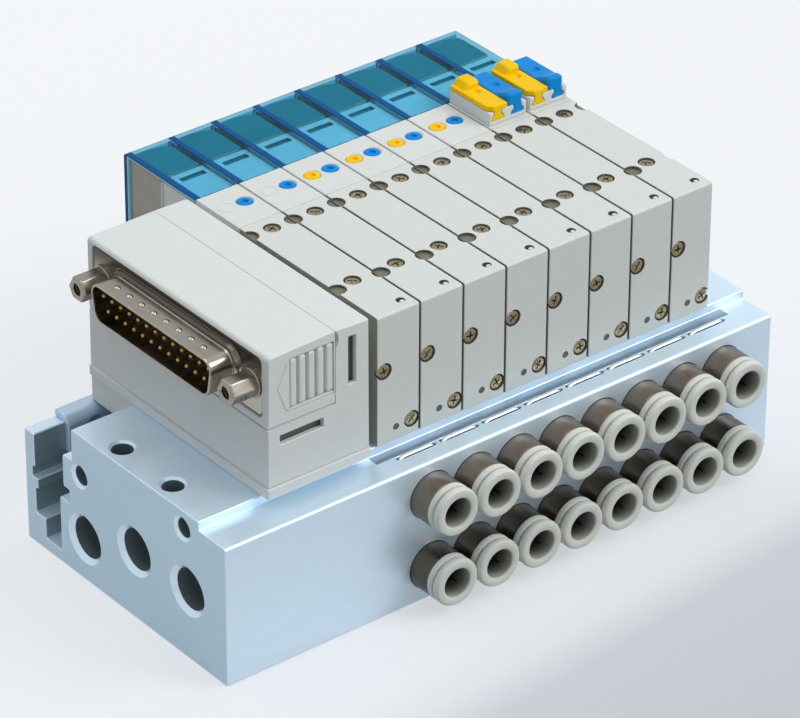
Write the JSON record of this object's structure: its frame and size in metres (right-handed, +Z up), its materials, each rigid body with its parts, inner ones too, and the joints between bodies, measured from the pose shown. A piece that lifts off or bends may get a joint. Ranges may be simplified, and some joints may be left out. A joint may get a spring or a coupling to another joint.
{
  "type": "pneumatic valve island",
  "caption": "Pneumatic valve island: solenoid valves side by side on a ported aluminium manifold base, push-in tube fittings in front, lamp covers at the rear, multi-pin plug at the left end.",
  "frame": {"origin": "middle of the manifold base's underside", "axes": "+X along the row of valves, away from the plug end; -Y towards the tube fittings; +Z up"},
  "size_m": [0.1354, 0.0968, 0.0672],
  "materials": {
    "base_anodised": "satin anodised",
    "bracket_sheet": "satin plated sheet",
    "housing_resin": "matt moulded resin",
    "valve_resin": "matt moulded resin",
    "holder_resin": "matt moulded resin",
    "button_resin": "matt moulded resin",
    "ring_resin": "semi-matt moulded resin",
    "sleeve_metal": "dark nickel plated",
    "clip_steel": "bright sheet",
    "steel_pin": "ground",
    "plug_nickel": "nickel plated",
    "jack_nickel": "nickel plated",
    "plug_insert": "moulded resin",
    "pin_gold": "gold plated",
    "gasket_rubber": "matt",
    "coil_resin": "moulded resin",
    "cover_clear": "clear tinted",
    "override_blue": "moulded resin",
    "override_yellow": "moulded resin"
  },
  "bodies": {
    "island": {"manifold_base": "base_anodised", "channel_bracket": "bracket_sheet", "connector_base": "housing_resin", "connector_housing": "housing_resin", "fitting_sleeves": "sleeve_metal", "fitting_clips": "clip_steel", "valve_gaskets": "gasket_rubber", "pilot_cases": "valve_resin", "pilot_coils": "coil_resin", "lamp_covers": "cover_clear", "slider_holder_7": "holder_resin", "slider_holder_8": "holder_resin", "valve_body_1": "valve_resin", "valve_body_2": "valve_resin", "valve_body_3": "valve_resin", "valve_body_4": "valve_resin", "valve_body_5": "valve_resin", "valve_body_6": "valve_resin", "valve_body_7": "valve_resin", "valve_body_8": "valve_resin"},
    "plug_block": {"connector_block": "housing_resin", "hinge_pin": "steel_pin", "dsub_shell": "plug_nickel", "dsub_insert": "plug_insert", "dsub_pins": "pin_gold", "jack_screws": "jack_nickel"},
    "release_button": {"release_button": "button_resin"},
    "upper_release_ring_1": {"upper_release_ring_1": "ring_resin"},
    "upper_release_ring_2": {"upper_release_ring_2": "ring_resin"},
    "upper_release_ring_3": {"upper_release_ring_3": "ring_resin"},
    "upper_release_ring_4": {"upper_release_ring_4": "ring_resin"},
    "upper_release_ring_5": {"upper_release_ring_5": "ring_resin"},
    "upper_release_ring_6": {"upper_release_ring_6": "ring_resin"},
    "upper_release_ring_7": {"upper_release_ring_7": "ring_resin"},
    "upper_release_ring_8": {"upper_release_ring_8": "ring_resin"},
    "lower_release_ring_1": {"lower_release_ring_1": "ring_resin"},
    "lower_release_ring_2": {"lower_release_ring_2": "ring_resin"},
    "lower_release_ring_3": {"lower_release_ring_3": "ring_resin"},
    "lower_release_ring_4": {"lower_release_ring_4": "ring_resin"},
    "lower_release_ring_5": {"lower_release_ring_5": "ring_resin"},
    "lower_release_ring_6": {"lower_release_ring_6": "ring_resin"},
    "lower_release_ring_7": {"lower_release_ring_7": "ring_resin"},
    "lower_release_ring_8": {"lower_release_ring_8": "ring_resin"},
    "blue_override_1": {"blue_override_1": "override_blue"},
    "blue_override_2": {"blue_override_2": "override_blue"},
    "blue_override_3": {"blue_override_3": "override_blue"},
    "blue_override_4": {"blue_override_4": "override_blue"},
    "blue_override_5": {"blue_override_5": "override_blue"},
    "blue_override_6": {"blue_override_6": "override_blue"},
    "yellow_override_3": {"yellow_override_3": "override_yellow"},
    "yellow_override_4": {"yellow_override_4": "override_yellow"},
    "yellow_override_5": {"yellow_override_5": "override_yellow"},
    "yellow_override_6": {"yellow_override_6": "override_yellow"},
    "yellow_slider_7": {"yellow_slider_7": "override_yellow"},
    "blue_slider_7": {"blue_slider_7": "override_blue"},
    "yellow_slider_8": {"yellow_slider_8": "override_yellow"},
    "blue_slider_8": {"blue_slider_8": "override_blue"}
  },
  "joints": [
    {"name": "plug_tilt", "type": "hinge", "parent": "island", "child": "plug_block", "pos_m": [-0.03885, 0.00235, 0.0616], "axis": [0, 1, 0], "range_deg": [0, 90]},
    {"name": "release_push", "type": "slide", "parent": "plug_block", "child": "release_button", "axis": [0, 1, 0], "range_m": [0, 0.001], "stiffness_N_per_m": 600, "springref_m": -0.0005},
    {"name": "upper_release_ring_1_press", "type": "slide", "parent": "island", "child": "upper_release_ring_1", "axis": [0, 1, 0], "range_m": [0, 0.00055], "stiffness_N_per_m": 600, "springref_m": -0.0003},
    {"name": "upper_release_ring_2_press", "type": "slide", "parent": "island", "child": "upper_release_ring_2", "axis": [0, 1, 0], "range_m": [0, 0.00055], "stiffness_N_per_m": 600, "springref_m": -0.0003},
    {"name": "upper_release_ring_3_press", "type": "slide", "parent": "island", "child": "upper_release_ring_3", "axis": [0, 1, 0], "range_m": [0, 0.00055], "stiffness_N_per_m": 600, "springref_m": -0.0003},
    {"name": "upper_release_ring_4_press", "type": "slide", "parent": "island", "child": "upper_release_ring_4", "axis": [0, 1, 0], "range_m": [0, 0.00055], "stiffness_N_per_m": 600, "springref_m": -0.0003},
    {"name": "upper_release_ring_5_press", "type": "slide", "parent": "island", "child": "upper_release_ring_5", "axis": [0, 1, 0], "range_m": [0, 0.00055], "stiffness_N_per_m": 600, "springref_m": -0.0003},
    {"name": "upper_release_ring_6_press", "type": "slide", "parent": "island", "child": "upper_release_ring_6", "axis": [0, 1, 0], "range_m": [0, 0.00055], "stiffness_N_per_m": 600, "springref_m": -0.0003},
    {"name": "upper_release_ring_7_press", "type": "slide", "parent": "island", "child": "upper_release_ring_7", "axis": [0, 1, 0], "range_m": [0, 0.00055], "stiffness_N_per_m": 600, "springref_m": -0.0003},
    {"name": "upper_release_ring_8_press", "type": "slide", "parent": "island", "child": "upper_release_ring_8", "axis": [0, 1, 0], "range_m": [0, 0.00055], "stiffness_N_per_m": 600, "springref_m": -0.0003},
    {"name": "lower_release_ring_1_press", "type": "slide", "parent": "island", "child": "lower_release_ring_1", "axis": [0, 1, 0], "range_m": [0, 0.00055], "stiffness_N_per_m": 600, "springref_m": -0.0003},
    {"name": "lower_release_ring_2_press", "type": "slide", "parent": "island", "child": "lower_release_ring_2", "axis": [0, 1, 0], "range_m": [0, 0.00055], "stiffness_N_per_m": 600, "springref_m": -0.0003},
    {"name": "lower_release_ring_3_press", "type": "slide", "parent": "island", "child": "lower_release_ring_3", "axis": [0, 1, 0], "range_m": [0, 0.00055], "stiffness_N_per_m": 600, "springref_m": -0.0003},
    {"name": "lower_release_ring_4_press", "type": "slide", "parent": "island", "child": "lower_release_ring_4", "axis": [0, 1, 0], "range_m": [0, 0.00055], "stiffness_N_per_m": 600, "springref_m": -0.0003},
    {"name": "lower_release_ring_5_press", "type": "slide", "parent": "island", "child": "lower_release_ring_5", "axis": [0, 1, 0], "range_m": [0, 0.00055], "stiffness_N_per_m": 600, "springref_m": -0.0003},
    {"name": "lower_release_ring_6_press", "type": "slide", "parent": "island", "child": "lower_release_ring_6", "axis": [0, 1, 0], "range_m": [0, 0.00055], "stiffness_N_per_m": 600, "springref_m": -0.0003},
    {"name": "lower_release_ring_7_press", "type": "slide", "parent": "island", "child": "lower_release_ring_7", "axis": [0, 1, 0], "range_m": [0, 0.00055], "stiffness_N_per_m": 600, "springref_m": -0.0003},
    {"name": "lower_release_ring_8_press", "type": "slide", "parent": "island", "child": "lower_release_ring_8", "axis": [0, 1, 0], "range_m": [0, 0.00055], "stiffness_N_per_m": 600, "springref_m": -0.0003},
    {"name": "blue_override_1_press", "type": "slide", "parent": "island", "child": "blue_override_1", "axis": [0, 0, -1], "range_m": [0, 0.001], "stiffness_N_per_m": 600, "springref_m": -0.0005},
    {"name": "blue_override_2_press", "type": "slide", "parent": "island", "child": "blue_override_2", "axis": [0, 0, -1], "range_m": [0, 0.001], "stiffness_N_per_m": 600, "springref_m": -0.0005},
    {"name": "blue_override_3_press", "type": "slide", "parent": "island", "child": "blue_override_3", "axis": [0, 0, -1], "range_m": [0, 0.001], "stiffness_N_per_m": 600, "springref_m": -0.0005},
    {"name": "blue_override_4_press", "type": "slide", "parent": "island", "child": "blue_override_4", "axis": [0, 0, -1], "range_m": [0, 0.001], "stiffness_N_per_m": 600, "springref_m": -0.0005},
    {"name": "blue_override_5_press", "type": "slide", "parent": "island", "child": "blue_override_5", "axis": [0, 0, -1], "range_m": [0, 0.001], "stiffness_N_per_m": 600, "springref_m": -0.0005},
    {"name": "blue_override_6_press", "type": "slide", "parent": "island", "child": "blue_override_6", "axis": [0, 0, -1], "range_m": [0, 0.001], "stiffness_N_per_m": 600, "springref_m": -0.0005},
    {"name": "yellow_override_3_press", "type": "slide", "parent": "island", "child": "yellow_override_3", "axis": [0, 0, -1], "range_m": [0, 0.001], "stiffness_N_per_m": 600, "springref_m": -0.0005},
    {"name": "yellow_override_4_press", "type": "slide", "parent": "island", "child": "yellow_override_4", "axis": [0, 0, -1], "range_m": [0, 0.001], "stiffness_N_per_m": 600, "springref_m": -0.0005},
    {"name": "yellow_override_5_press", "type": "slide", "parent": "island", "child": "yellow_override_5", "axis": [0, 0, -1], "range_m": [0, 0.001], "stiffness_N_per_m": 600, "springref_m": -0.0005},
    {"name": "yellow_override_6_press", "type": "slide", "parent": "island", "child": "yellow_override_6", "axis": [0, 0, -1], "range_m": [0, 0.001], "stiffness_N_per_m": 600, "springref_m": -0.0005},
    {"name": "yellow_slider_7_slide", "type": "slide", "parent": "island", "child": "yellow_slider_7", "axis": [0, -1, 0], "range_m": [0, 0.0025]},
    {"name": "blue_slider_7_slide", "type": "slide", "parent": "island", "child": "blue_slider_7", "axis": [0, -1, 0], "range_m": [0, 0.0025]},
    {"name": "yellow_slider_8_slide", "type": "slide", "parent": "island", "child": "yellow_slider_8", "axis": [0, -1, 0], "range_m": [0, 0.0025]},
    {"name": "blue_slider_8_slide", "type": "slide", "parent": "island", "child": "blue_slider_8", "axis": [0, -1, 0], "range_m": [0, 0.0025]}
  ]
}
